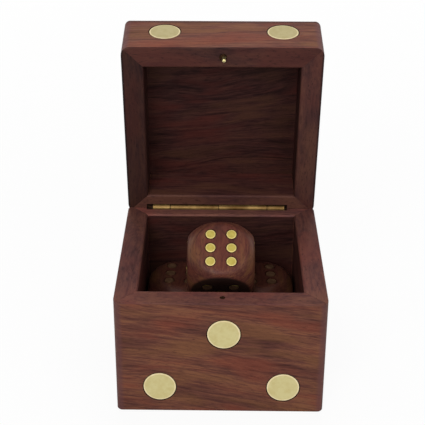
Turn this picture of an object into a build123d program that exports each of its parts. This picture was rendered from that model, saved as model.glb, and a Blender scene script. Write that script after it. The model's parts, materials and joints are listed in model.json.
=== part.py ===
from build123d import *
from math import sqrt, tan, radians
import os

# A wooden dice box in the form of one large die, with a hinged lid and five
# dice inside. Millimetres: X to the right, Y to the back, Z up, and the origin
# in the middle of the underside. The box is modelled shut. The lid and what it
# carries are then swung open about the hinge.

os.makedirs("parts", exist_ok=True)

# ---------------------------------------------------------------- the boards
box_width = 76.0
box_depth = 75.0
base_height = 47.0
lid_height = 24.5
wall = 8.3  # the side boards, mitred at the corners
bottom_board = 4.5
top_board = 8.0
rebate = 3.0  # ledge width that the bottom and top boards are glued to
board_fit = 0.1  # between a board's edge and its rebate
seam = 0.2  # between the two rims when shut
corner_radius = 3.4  # upright corners
crown_radius = 2.2  # round the top of the lid
foot_ease = 0.6  # bevel round the underside
rim_ease = 0.4  # outer arris of each rim
lip_ease = 0.8  # inner arris of each rim

# ---------------------------------------------------------------- brass inlays
pip_diameter = 12.0
pip_thickness = 2.0
pip_sides = 24  # the round inlays are drawn with flats
pip_glue = 0.1  # round each inlay
pip_side_margin = 15.5  # from the left and right sides to the outer pips
pip_end_margin = 15.0  # from the front and the back to the outer pips
pip_margin = 11.0  # from the underside, and from the top, to the outer pips
pip_middle = 34.0  # height of the middle pips
front_shift = 0.5  # the front inlays were bored a little to the right
front_middle_shift = 1.2

# ---------------------------------------------------------------- the hinge
open_angle = 82.0  # where the bevelled back edges meet and hold the lid
hinge_inset = 2.4  # from the back face to the hinge pin
hinge_shift = -1.0  # the hinge lies a little left of the middle
hinge_length = 54.0
knuckle_length = 19.8  # of the whole knuckles, the end ones are cut shorter
knuckle_gap = 0.3
hinge_pin_diameter = 1.0
pin_clearance = 0.05
leaf_thickness = 0.55
leaf_reach = 8.0  # from the pin to the far edge of a leaf
groove_clearance = 0.25  # round the knuckles
groove_left_spare = 2.4  # the groove runs on past the hinge's ends
groove_right_spare = 1.0
kerf_clearance = 0.1  # each side of a leaf, and past its far edge

# ---------------------------------------------------------------- closing peg
peg_diameter = 1.5
peg_root = 6.0  # length in the lid's front board
peg_reach = 2.6  # length that stands out of the rim
peg_tip_ease = 0.4
peg_shift = 0.6
peg_fit = 0.05
peg_clearance = 0.25  # round the peg and below it, in the base

# ---------------------------------------------------------------- the dice
ball_rise = 3.35  # how far the ball that rounds a die off clears its faces
ball_sides = 20  # the ball is drawn with flats too
die_pip_diameter = 4.0
die_pip_sides = 8
die_pip_depth = 1.2
die_pip_glue = 0.05
die_pip_corner = 4.9  # centre of a face to its corner pips, each way
six_column = 3.9
six_row = 5.65
die_rest_gap = 0.1  # between the lower dice and the bottom board
die_perch_gap = 0.5  # between the fifth die's ball and those that carry it
side_gap = 1.0  # between the lower dice and the side walls
column_gap = 6.4  # between the left pair and the right pair, at least
front_gap = 1.3  # between the lower dice and the front wall
row_gap = 1.0  # between the front pair and the back pair
back_gap = 5.1  # between the lower dice and the back wall, at least
front_left_turn = 2.0  # the lower dice don't lie quite square
front_right_turn = -1.0
back_left_turn = -3.0
back_right_turn = 2.0
fifth_die_tilt = 33.0  # six leaning from straight up towards the front

overcut = 1.0  # how far a cutting shape runs past what it cuts

# ---------------------------------------------------------------- worked out
inner_width = box_width - 2 * wall
inner_depth = box_depth - 2 * wall
board_width = inner_width + 2 * (rebate - board_fit)
board_depth = inner_depth + 2 * (rebate - board_fit)
lid_foot = base_height + seam
shut_height = lid_foot + lid_height
hinge_y = box_depth / 2 - hinge_inset
hinge_z = base_height + seam / 2
hinge_axis = Axis((0, hinge_y, hinge_z), (1, 0, 0))
hinge_start = hinge_shift - hinge_length / 2
bevel_reach = hinge_inset + overcut
bevel_rise = bevel_reach * tan(radians(open_angle / 2))
bore_radius = hinge_pin_diameter / 2 + pin_clearance
knuckle_radius = bore_radius + leaf_thickness
groove_radius = knuckle_radius + groove_clearance
groove_start = hinge_start - groove_left_spare
groove_length = hinge_length + groove_left_spare + groove_right_spare
leaf_y = hinge_y - knuckle_radius + leaf_thickness / 2
peg_y = (wall - box_depth) / 2
pocket_diameter = pip_diameter + 2 * pip_glue
pip_x = box_width / 2 - pip_side_margin
pip_y = box_depth / 2 - pip_end_margin

# The dice are as large as lets two pairs lie side by side and one behind the
# other with their gaps.
edge_across = (inner_width - 2 * side_gap - column_gap) / 2
edge_back = (inner_depth - front_gap - row_gap - back_gap) / 2
die_edge = min(edge_across, edge_back)
die_half = die_edge / 2
die_ball = die_half + ball_rise

# The outside faces, each with its own x to the right and y up, seen from
# outside, and its foot on the underside.
front_face = Plane((0, -box_depth / 2, 0), x_dir=(1, 0, 0), z_dir=(0, -1, 0))
back_face = Plane((0, box_depth / 2, 0), x_dir=(-1, 0, 0), z_dir=(0, 1, 0))
left_face = Plane((-box_width / 2, 0, 0), x_dir=(0, -1, 0), z_dir=(-1, 0, 0))
right_face = Plane((box_width / 2, 0, 0), x_dir=(0, 1, 0), z_dir=(1, 0, 0))
top_face = Plane.XY.offset(shut_height)
under_face = Plane((0, 0, 0), x_dir=(1, 0, 0), z_dir=(0, 0, -1))


def save(piece, name):
    """Label a piece that stays with the base and write its file."""
    piece.label = name
    export_step(piece, f"parts/{name}.step")


def save_open(piece, name):
    """Swing a piece of the lid open about the hinge and write its file."""
    save(piece.rotate(hinge_axis, -open_angle), name)


# ---------------------------------------------------------------- pip patterns
# The box counts like a die: five in front, two behind, four on the left,
# three on the right, six on top and one below.
low = pip_margin
high = shut_height - pip_margin
front_low_pips = [(front_shift - pip_x, low), (front_shift + pip_x, low)]
front_pips_of_base = front_low_pips + [(front_middle_shift, pip_middle)]
front_pips_of_lid = [(front_shift - pip_x, high), (front_shift + pip_x, high)]
back_pips_of_base = [(-pip_x, low)]
back_pips_of_lid = [(pip_x, high)]
left_pips_of_base = [(-pip_y, low), (pip_y, low)]
left_pips_of_lid = [(-pip_y, high), (pip_y, high)]
right_pips_of_base = [(-pip_y, low), (0, pip_middle)]
right_pips_of_lid = [(pip_y, high)]
top_pips_of_lid = [(x * pip_x, y * pip_y) for x in (-1, 1) for y in (-1, 0, 1)]
under_pip_of_base = [(0, 0)]


def rounds(plane, points, diameter, sides):
    """Round outlines, drawn with flats, at the given points of a plane."""
    with BuildSketch(plane) as outlines:
        with Locations(*points):
            RegularPolygon(diameter / 2, side_count=sides)
    return outlines.sketch


def peg_outline(height, clearance):
    """The closing peg's section with a clearance round it, at one height."""
    with BuildSketch(Plane.XY.offset(height)) as outline:
        with Locations((peg_shift, peg_y)):
            Circle(peg_diameter / 2 + clearance)
    return outline.sketch


def pip_inlays(face, points):
    """Brass discs that fill a face's pockets, flush with the wood."""
    with BuildPart() as inlays:
        extrude(rounds(face, points, pip_diameter, pip_sides), amount=-pip_thickness)
    return inlays.part


# ---------------------------------------------------------------- base frame
with BuildPart() as base_frame:
    with BuildSketch():
        RectangleRounded(box_width, box_depth, corner_radius)
    extrude(amount=base_height)
    chamfer(base_frame.edges().group_by(Axis.Z)[0], foot_ease)
    chamfer(base_frame.edges().group_by(Axis.Z)[-1], rim_ease)
    with BuildSketch():
        Rectangle(inner_width, inner_depth)
    extrude(amount=base_height, mode=Mode.SUBTRACT)
    chamfer(base_frame.faces().sort_by(Axis.Z)[-1].inner_wires()[0].edges(), lip_ease)
    with BuildSketch():
        Rectangle(inner_width + 2 * rebate, inner_depth + 2 * rebate)
    extrude(amount=bottom_board, mode=Mode.SUBTRACT)
    with BuildSketch(Plane.YZ.offset(-box_width / 2 - overcut)):
        Polygon(
            (hinge_y, base_height),
            (hinge_y + bevel_reach, base_height - bevel_rise),
            (hinge_y + bevel_reach, base_height + overcut),
            (hinge_y, base_height + overcut),
            align=None,
        )
    extrude(amount=box_width + 2 * overcut, mode=Mode.SUBTRACT)

# ---------------------------------------------------------------- lid frame
with BuildPart() as lid_frame:
    with BuildSketch(Plane.XY.offset(lid_foot)):
        RectangleRounded(box_width, box_depth, corner_radius)
    extrude(amount=lid_height)
    fillet(lid_frame.edges().group_by(Axis.Z)[-1], crown_radius)
    chamfer(lid_frame.edges().group_by(Axis.Z)[0], rim_ease)
    with BuildSketch(Plane.XY.offset(lid_foot)):
        Rectangle(inner_width, inner_depth)
    extrude(amount=lid_height, mode=Mode.SUBTRACT)
    chamfer(lid_frame.faces().sort_by(Axis.Z)[0].inner_wires()[0].edges(), lip_ease)
    with BuildSketch(Plane.XY.offset(shut_height)):
        Rectangle(inner_width + 2 * rebate, inner_depth + 2 * rebate)
    extrude(amount=-top_board, mode=Mode.SUBTRACT)
    with BuildSketch(Plane.YZ.offset(-box_width / 2 - overcut)):
        Polygon(
            (hinge_y, lid_foot),
            (hinge_y + bevel_reach, lid_foot + bevel_rise),
            (hinge_y + bevel_reach, lid_foot - overcut),
            (hinge_y, lid_foot - overcut),
            align=None,
        )
    extrude(amount=box_width + 2 * overcut, mode=Mode.SUBTRACT)


def mitred_board(frame, face, half_length, pockets):
    """One side of a frame, cut at its mitres, with its inlay pockets."""
    reach = wall + overcut
    with BuildPart() as board:
        add(frame.part)
        with BuildSketch(Plane(face.origin, x_dir=face.x_dir, z_dir=(0, 0, 1))):
            Polygon(
                (-half_length, 0),
                (half_length, 0),
                (half_length - reach, reach),
                (reach - half_length, reach),
                align=None,
            )
        extrude(amount=shut_height, mode=Mode.INTERSECT)
        pocket_outlines = rounds(face, pockets, pocket_diameter, pip_sides)
        extrude(pocket_outlines, amount=-pip_thickness, mode=Mode.SUBTRACT)
    return board


def hinge_seat(side):
    """Section of one leaf's groove and kerf. Side is -1 in the base and 1 in the lid."""
    with BuildSketch(Plane.YZ.offset(groove_start)) as section:
        with Locations((hinge_y, hinge_z)):
            Circle(groove_radius)
        with Locations((leaf_y, hinge_z + side * (leaf_reach + kerf_clearance) / 2)):
            Rectangle(leaf_thickness + 2 * kerf_clearance, leaf_reach + kerf_clearance)
    return section.sketch


def hinge_leaf(side, spans):
    """A rolled brass leaf: its plate and the knuckles over the given spans."""
    plate_height = leaf_reach - groove_radius
    with BuildPart() as leaf:
        with BuildSketch(Plane.YZ.offset(hinge_start)):
            with Locations((leaf_y, hinge_z + side * (leaf_reach - plate_height / 2))):
                Rectangle(leaf_thickness, plate_height)
        extrude(amount=hinge_length)
        for start, end in spans:
            with BuildSketch(Plane.YZ.offset(start)):
                with Locations((hinge_y, hinge_z)):
                    Circle(knuckle_radius)
                with Locations((leaf_y, hinge_z + side * leaf_reach / 2)):
                    Rectangle(leaf_thickness, leaf_reach)
                with Locations((hinge_y, hinge_z)):
                    Circle(bore_radius, mode=Mode.SUBTRACT)
            extrude(amount=end - start)
    return leaf.part


# ---------------------------------------------------------------- base boards
base_front_wall = mitred_board(base_frame, front_face, box_width / 2, front_pips_of_base)
with base_front_wall:
    peg_hole = peg_outline(base_height, peg_clearance)
    extrude(peg_hole, amount=-(peg_reach + peg_clearance), mode=Mode.SUBTRACT)
save(base_front_wall.part, "base_front_wall")

base_back_wall = mitred_board(base_frame, back_face, box_width / 2, back_pips_of_base)
with base_back_wall:
    extrude(hinge_seat(-1), amount=groove_length, mode=Mode.SUBTRACT)
save(base_back_wall.part, "base_back_wall")

base_left_wall = mitred_board(base_frame, left_face, box_depth / 2, left_pips_of_base)
save(base_left_wall.part, "base_left_wall")

base_right_wall = mitred_board(base_frame, right_face, box_depth / 2, right_pips_of_base)
save(base_right_wall.part, "base_right_wall")

with BuildPart() as base_bottom_board:
    with BuildSketch():
        Rectangle(board_width, board_depth)
    extrude(amount=bottom_board)
    under_pocket = rounds(under_face, under_pip_of_base, pocket_diameter, pip_sides)
    extrude(under_pocket, amount=-pip_thickness, mode=Mode.SUBTRACT)
save(base_bottom_board.part, "base_bottom_board")

# ---------------------------------------------------------------- lid boards
lid_front_wall = mitred_board(lid_frame, front_face, box_width / 2, front_pips_of_lid)
with lid_front_wall:
    extrude(peg_outline(lid_foot, peg_fit), amount=peg_root, mode=Mode.SUBTRACT)
save_open(lid_front_wall.part, "lid_front_wall")

lid_back_wall = mitred_board(lid_frame, back_face, box_width / 2, back_pips_of_lid)
with lid_back_wall:
    extrude(hinge_seat(1), amount=groove_length, mode=Mode.SUBTRACT)
save_open(lid_back_wall.part, "lid_back_wall")

lid_left_wall = mitred_board(lid_frame, left_face, box_depth / 2, left_pips_of_lid)
save_open(lid_left_wall.part, "lid_left_wall")

lid_right_wall = mitred_board(lid_frame, right_face, box_depth / 2, right_pips_of_lid)
save_open(lid_right_wall.part, "lid_right_wall")

with BuildPart() as lid_top_board:
    with BuildSketch(Plane.XY.offset(shut_height - top_board)):
        Rectangle(board_width, board_depth)
    extrude(amount=top_board)
    top_pockets = rounds(top_face, top_pips_of_lid, pocket_diameter, pip_sides)
    extrude(top_pockets, amount=-pip_thickness, mode=Mode.SUBTRACT)
save_open(lid_top_board.part, "lid_top_board")

# ---------------------------------------------------------------- brass inlays
save(pip_inlays(front_face, front_pips_of_base), "base_front_pips")
save(pip_inlays(back_face, back_pips_of_base), "base_back_pip")
save(pip_inlays(left_face, left_pips_of_base), "base_left_pips")
save(pip_inlays(right_face, right_pips_of_base), "base_right_pips")
save(pip_inlays(under_face, under_pip_of_base), "base_under_pip")
save_open(pip_inlays(front_face, front_pips_of_lid), "lid_front_pips")
save_open(pip_inlays(back_face, back_pips_of_lid), "lid_back_pip")
save_open(pip_inlays(left_face, left_pips_of_lid), "lid_left_pips")
save_open(pip_inlays(right_face, right_pips_of_lid), "lid_right_pip")
save_open(pip_inlays(top_face, top_pips_of_lid), "lid_top_pips")

# ---------------------------------------------------------------- hinge
knuckle_ends = [
    hinge_start,
    hinge_shift - knuckle_length,
    hinge_shift,
    hinge_shift + knuckle_length,
    hinge_start + hinge_length,
]
knuckle_spans = [
    (start + knuckle_gap / 2, end - knuckle_gap / 2)
    for start, end in zip(knuckle_ends, knuckle_ends[1:])
]
save(hinge_leaf(-1, knuckle_spans[1::2]), "hinge_base_leaf")
save_open(hinge_leaf(1, knuckle_spans[0::2]), "hinge_lid_leaf")

with BuildPart() as hinge_pin:
    with BuildSketch(Plane.YZ.offset(hinge_start)):
        with Locations((hinge_y, hinge_z)):
            Circle(hinge_pin_diameter / 2)
    extrude(amount=hinge_length)
save(hinge_pin.part, "hinge_pin")

# ---------------------------------------------------------------- closing peg
with BuildPart() as lid_peg:
    extrude(peg_outline(lid_foot + peg_root, 0), amount=-(peg_root + peg_reach))
    chamfer(lid_peg.edges().group_by(Axis.Z)[0], peg_tip_ease)
save_open(lid_peg.part, "lid_peg")

# ---------------------------------------------------------------- one die
corner_pips = [(-die_pip_corner, -die_pip_corner), (die_pip_corner, die_pip_corner)]
other_pips = [(-die_pip_corner, die_pip_corner), (die_pip_corner, -die_pip_corner)]
centre_pip = [(0, 0)]
six_pips = [(x * six_column, y * six_row) for x in (-1, 1) for y in (-1, 0, 1)]
die_faces = [
    (Plane((0, 0, -die_half), x_dir=(1, 0, 0), z_dir=(0, 0, -1)), centre_pip),
    (Plane((0, die_half, 0), x_dir=(-1, 0, 0), z_dir=(0, 1, 0)), corner_pips),
    (Plane((die_half, 0, 0), x_dir=(0, 1, 0), z_dir=(1, 0, 0)), corner_pips + centre_pip),
    (Plane((-die_half, 0, 0), x_dir=(0, -1, 0), z_dir=(-1, 0, 0)), corner_pips + other_pips),
    (
        Plane((0, -die_half, 0), x_dir=(1, 0, 0), z_dir=(0, -1, 0)),
        corner_pips + other_pips + centre_pip,
    ),
    (Plane((0, 0, die_half), x_dir=(1, 0, 0), z_dir=(0, 0, 1)), six_pips),
]

# The ball's flats come from prisms along the die's axes and along the diagonals
# between them.
prism_turns = [(0, 0, 0), (90, 0, 0), (0, 90, 0)]
prism_turns += [(45, 0, 0), (-45, 0, 0), (0, 45, 0), (0, -45, 0), (90, 45, 0), (90, -45, 0)]

with BuildPart() as die:
    Box(die_edge, die_edge, die_edge)
    for turn in prism_turns:
        with BuildSketch(Plane(Location((0, 0, 0), turn))):
            RegularPolygon(die_ball, side_count=ball_sides, major_radius=False)
        extrude(amount=die_edge, both=True, mode=Mode.INTERSECT)
    for face, points in die_faces:
        pockets = rounds(face, points, die_pip_diameter + 2 * die_pip_glue, die_pip_sides)
        extrude(pockets, amount=-die_pip_depth, mode=Mode.SUBTRACT)

with BuildPart() as die_pips:
    for face, points in die_faces:
        extrude(rounds(face, points, die_pip_diameter, die_pip_sides), amount=-die_pip_depth)

# ---------------------------------------------------------------- five dice
# Four lie on the bottom board in two rows. The fifth is perched on the rounded
# edges of all four, so its height follows from ball against ball.
die_x = inner_width / 2 - side_gap - die_half
front_row = -inner_depth / 2 + front_gap + die_half
back_row = front_row + die_edge + row_gap
lower_z = bottom_board + die_rest_gap + die_half
middle_row = (front_row + back_row) / 2
crossing = sqrt(die_x**2 + ((back_row - front_row) / 2) ** 2)
perch = sqrt((2 * die_ball + die_perch_gap) ** 2 - crossing**2)
front_left = Location((-die_x, front_row, lower_z), (0, 0, front_left_turn))
front_right = Location((die_x, front_row, lower_z), (0, 0, front_right_turn))
dice_places = {
    "die_front_left": front_left * Rotation(90, 0, 0),
    "die_front_right": front_right * Rotation(0, 90, 0),
    "die_back_left": Location((-die_x, back_row, lower_z), (0, 0, back_left_turn)),
    "die_back_right": Location((die_x, back_row, lower_z), (0, 0, back_right_turn)),
    "die_top": Location((0, middle_row, lower_z + perch), (fifth_die_tilt, 0, 0)),
}
for name, place in dice_places.items():
    save(place * die.part, name)
    save(place * die_pips.part, f"{name}_pips")
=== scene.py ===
import json
import logging
from collections.abc import Sequence
from dataclasses import astuple, dataclass
from enum import Enum, IntEnum
from math import cos, pi, radians, sin, sqrt, tan

import bmesh
import bpy
from mathutils import Euler, Matrix, Vector


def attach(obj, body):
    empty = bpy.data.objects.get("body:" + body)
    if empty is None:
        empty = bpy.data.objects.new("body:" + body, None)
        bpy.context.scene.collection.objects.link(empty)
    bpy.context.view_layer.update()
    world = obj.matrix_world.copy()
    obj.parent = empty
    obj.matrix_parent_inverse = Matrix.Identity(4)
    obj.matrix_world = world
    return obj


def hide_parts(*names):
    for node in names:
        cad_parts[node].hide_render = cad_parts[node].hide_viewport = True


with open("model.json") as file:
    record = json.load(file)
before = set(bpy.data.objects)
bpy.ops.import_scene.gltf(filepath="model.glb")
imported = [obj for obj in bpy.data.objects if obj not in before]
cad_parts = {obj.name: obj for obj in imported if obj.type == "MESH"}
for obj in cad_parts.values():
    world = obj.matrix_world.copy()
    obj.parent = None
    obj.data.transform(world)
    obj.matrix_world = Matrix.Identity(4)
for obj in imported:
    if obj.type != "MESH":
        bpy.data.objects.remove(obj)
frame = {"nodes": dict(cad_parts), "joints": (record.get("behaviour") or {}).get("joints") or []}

Triple = tuple[float, float, float]
Colour = tuple[float, float, float, float]
Outline = Sequence[tuple[float, float]]
Socket = bpy.types.NodeSocket
Material = bpy.types.Material
Piece = bpy.types.Object
Shape = bmesh.types.BMesh

log = logging.getLogger("dice_box")

MM = 0.001
WELD = 0.0005 * MM  # points nearer than this are one point
EASE_STEPS = 2  # faces across a broken edge
EASED_FROM = radians(35)  # edges sharper than this are broken
SHARP_FROM = radians(48)  # edges sharper than this stay sharp in the shading
LATHE_STEPS = 48  # flats of what is turned on a lathe
LEAF_SHEET = 0.55 * MM  # thickness of the brass sheet that the hinge's leaves are cut from
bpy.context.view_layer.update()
HINGE = next(joint for joint in frame["joints"] if joint["name"] == "lid_hinge")
HINGE_AT = Vector(HINGE["pos_m"])
OPEN_ANGLE = radians(HINGE["range_deg"][1])
TO_OPEN = (
    Matrix.Translation(HINGE_AT) @ Matrix.Rotation(-OPEN_ANGLE, 4, "X") @ Matrix.Translation(-HINGE_AT)
)
TO_SHUT = TO_OPEN.inverted()
AS_IT_STANDS = Matrix.Identity(4)
RIGHT = Vector((1, 0, 0))
UP = Vector((0, 0, 1))


# ------------------------------------------------------------------ reading the frame
def box_of(points: Sequence[Vector]) -> tuple[Vector, Vector]:
    """Give the box round some points.

    Args:
        points: The points.

    Returns:
        The lowest and the highest corner.
    """
    low = Vector([min(point[axis] for point in points) for axis in range(3)])
    high = Vector([max(point[axis] for point in points) for axis in range(3)])
    return low, high


def node_box(node: str, turn: Matrix = AS_IT_STANDS) -> tuple[Vector, Vector]:
    """Give a CAD node's box after a turn.

    Args:
        node: Name of the node.
        turn: Matrix put on the node's points first, such as the one that shuts the lid.

    Returns:
        The lowest and the highest corner, in metres.
    """
    return box_of([turn @ vertex.co for vertex in frame["nodes"][node].data.vertices])


def solid_centres(node: str) -> list[Vector]:
    """Give the middle of each separate solid of a CAD node.

    Args:
        node: Name of the node.

    Returns:
        One point for each solid, in metres.
    """
    shape = bmesh.new()
    shape.from_mesh(frame["nodes"][node].data)
    bmesh.ops.remove_doubles(shape, verts=shape.verts, dist=WELD)
    left = set(shape.verts)
    centres = []
    while left:
        solid, waiting = set(), [left.pop()]
        while waiting:
            vertex = waiting.pop()
            solid.add(vertex)
            beside = {edge.other_vert(vertex) for edge in vertex.link_edges} & left
            left -= beside
            waiting += beside
        low, high = box_of([vertex.co for vertex in solid])
        centres.append((low + high) / 2)
    shape.free()
    return centres


# ------------------------------------------------------------------ node trees
class NodeSheet:
    """A short way to lay out the nodes of a shader or of a Geometry Nodes tree."""

    def __init__(self, tree: bpy.types.NodeTree) -> None:
        """Keep the tree that the nodes go into."""
        self.tree = tree

    def add(self, kind: str, settings: dict[str, object] | None = None, **sockets: object) -> bpy.types.Node:
        """Add a node, set it up and feed its sockets.

        Args:
            kind: Blender's name of the node's type.
            settings: Properties of the node itself.
            **sockets: Input name, with underscores for spaces, or its number after an
                underscore, to a value or to an output socket.

        Returns:
            The new node.
        """
        node = self.tree.nodes.new(kind)
        for name, value in (settings or {}).items():
            setattr(node, name, value)
        for name, value in sockets.items():
            self.feed(self.socket(node, name), value)
        return node

    def socket(self, node: bpy.types.Node, name: str) -> Socket:
        """Find an enabled input of a node.

        Args:
            node: The node.
            name: The input's name, or its number after an underscore.

        Returns:
            The input.
        """
        words = name.strip("_").replace("_", " ")
        if words.isdigit():
            return node.inputs[int(words)]
        return next(entry for entry in node.inputs if entry.name.lower() == words.lower() and entry.enabled)

    def feed(self, entry: Socket, value: object) -> None:
        """Link an output to an input, or write a value into it.

        Args:
            entry: The input.
            value: An output socket, or a value.
        """
        if isinstance(value, bpy.types.NodeSocket):
            self.tree.links.new(value, entry)
        else:
            entry.default_value = value

    def place(self) -> Socket:
        """Give the Object coordinates."""
        return self.add("ShaderNodeTexCoord").outputs["Object"]

    def measured(self, place: Socket, centre: Sequence[float], turn: Sequence[float]) -> Socket:
        """Give coordinates measured from a centre, along turned axes."""
        kind = {"vector_type": "TEXTURE"}
        return self.add("ShaderNodeMapping", kind, Vector=place, Location=centre, Rotation=turn).outputs[0]

    def maths(self, operation: str, first: object, second: object = 0.0) -> Socket:
        """Add a Math node and give its result."""
        return self.add("ShaderNodeMath", {"operation": operation}, _0=first, _1=second).outputs[0]

    def vector(self, operation: str, *values: object) -> Socket:
        """Add a Vector Math node.

        Args:
            operation: What it does.
            *values: Its inputs in order.

        Returns:
            Its result, which is a number for a length or a dot product.
        """
        node = self.add("ShaderNodeVectorMath", {"operation": operation})
        for entry, value in zip(node.inputs, values):
            self.feed(entry, value)
        return node.outputs["Value" if operation in ("LENGTH", "DOT_PRODUCT") else "Vector"]

    def part(self, place: Socket, axis: str) -> Socket:
        """Give one coordinate of a place."""
        return self.add("ShaderNodeSeparateXYZ", Vector=place).outputs[axis]

    def noise(self, place: Socket, width: float, detail: float, **sockets: float) -> Socket:
        """Add a noise with features of a width in metres, and give its strength, 0 to 1."""
        made = self.add("ShaderNodeTexNoise", Vector=place, Scale=1 / width, Detail=detail, **sockets)
        return made.outputs[0]

    def between(
        self, value: object, low: float, high: float, to_low: float = 0.0, to_high: float = 1.0
    ) -> Socket:
        """Spread one range of a value over another, with its ends held.

        Args:
            value: The value.
            low: Where its range starts.
            high: Where its range ends.
            to_low: The result at the start.
            to_high: The result at the end.

        Returns:
            The result.
        """
        spread = self.add("ShaderNodeMapRange", {"clamp": True}, Value=value)
        for name, number in (("From Min", low), ("From Max", high), ("To Min", to_low), ("To Max", to_high)):
            spread.inputs[name].default_value = number
        return spread.outputs[0]

    def past(self, value: Socket, edge: float, blur: float, share: float = 1.0) -> Socket:
        """Give a share where a value is past an edge, and 0 before it, with a blur to each side."""
        return self.between(value, edge - blur, edge + blur, 0.0, share)

    def looked_at(self) -> Socket:
        """Tell the rays that show a backdrop, straight or in a shine, from the rest.

        Returns:
            1 on those rays, and 0 on the others.
        """
        paths = self.add("ShaderNodeLightPath").outputs
        direct = self.maths("MAXIMUM", paths["Is Camera Ray"], paths["Is Glossy Ray"])
        return self.maths("MAXIMUM", direct, paths["Is Transmission Ray"])

    def mixed(self, share: object, first: object, second: object) -> Socket:
        """Mix two colours and give the result."""
        node = self.add("ShaderNodeMix", {"data_type": "RGBA"}, _0=share, _6=first, _7=second)
        return node.outputs[2]

    def surface(self, height: Socket, strength: float, depth: float, **sockets: object) -> None:
        """End a material in a shader with a relief.

        Args:
            height: Height of the relief.
            strength: How much of it shows.
            depth: How deep it is, in metres.
            **sockets: The shader's own inputs.
        """
        bump = self.add("ShaderNodeBump", Strength=strength, Distance=depth, Height=height)
        shader = self.add("ShaderNodeBsdfPrincipled", Normal=bump.outputs[0], **sockets)
        self.add("ShaderNodeOutputMaterial", Surface=shader.outputs[0])


def empty_material(name: str) -> tuple[Material, NodeSheet]:
    """Start a material.

    Args:
        name: Its name.

    Returns:
        The material, and its empty node sheet.
    """
    made = bpy.data.materials.new(name)
    made.use_nodes = True
    made.node_tree.nodes.clear()
    return made, NodeSheet(made.node_tree)


def colour(red: float, green: float, blue: float) -> Colour:
    """Turn a colour as seen on a screen into the linear light that a node takes.

    Args:
        red: Its red, 0 to 255.
        green: Its green.
        blue: Its blue.

    Returns:
        The colour, with nothing see-through.
    """
    steps = [part / 255 for part in (red, green, blue)]
    linear = [step / 12.92 if step <= 0.04045 else ((step + 0.055) / 1.055) ** 2.4 for step in steps]
    return (*linear, 1.0)


# ------------------------------------------------------------------ finishes
@dataclass(frozen=True)
class WoodTone:
    """The colours that one kind of board runs through, from its dark lines to its light streaks."""

    line: Colour
    dark: Colour
    middle: Colour
    light: Colour
    red: Colour
    ochre: Colour
    corner: Colour = colour(90, 57, 57)

    def shaded(self, share: float) -> "WoodTone":
        """Give the same colours with more or less light in them."""
        return WoodTone(*[(*[part * share for part in shade[:3]], 1.0) for shade in astuple(self)])


def tone(**shades: Triple) -> WoodTone:
    """Give a tone from colours as seen on a screen."""
    return WoodTone(**{name: colour(*shade) for name, shade in shades.items()})


SHEESHAM_TONE = tone(
    line=(58, 31, 27), dark=(81, 47, 40), middle=(98, 59, 47),
    light=(117, 75, 54), red=(115, 57, 42), ochre=(112, 74, 47),
)
INNER_TONE = tone(
    line=(48, 26, 25), dark=(74, 43, 41), middle=(95, 57, 52),
    light=(112, 70, 58), red=(113, 54, 47), ochre=(107, 69, 52),
)
RIM_TONE = tone(
    line=(54, 33, 33), dark=(80, 50, 48), middle=(98, 61, 54),
    light=(112, 73, 60), red=(113, 60, 52), ochre=(108, 71, 56),
)
DICE_TONE = tone(
    line=(54, 28, 24), dark=(80, 43, 37), middle=(95, 54, 44),
    light=(113, 72, 50), red=(102, 47, 38), ochre=(118, 80, 46),
)
# near black painted shade for the top die's face that looks down into the box
PAINTED_SHADE_WOOD = colour(20, 12, 10)


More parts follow.
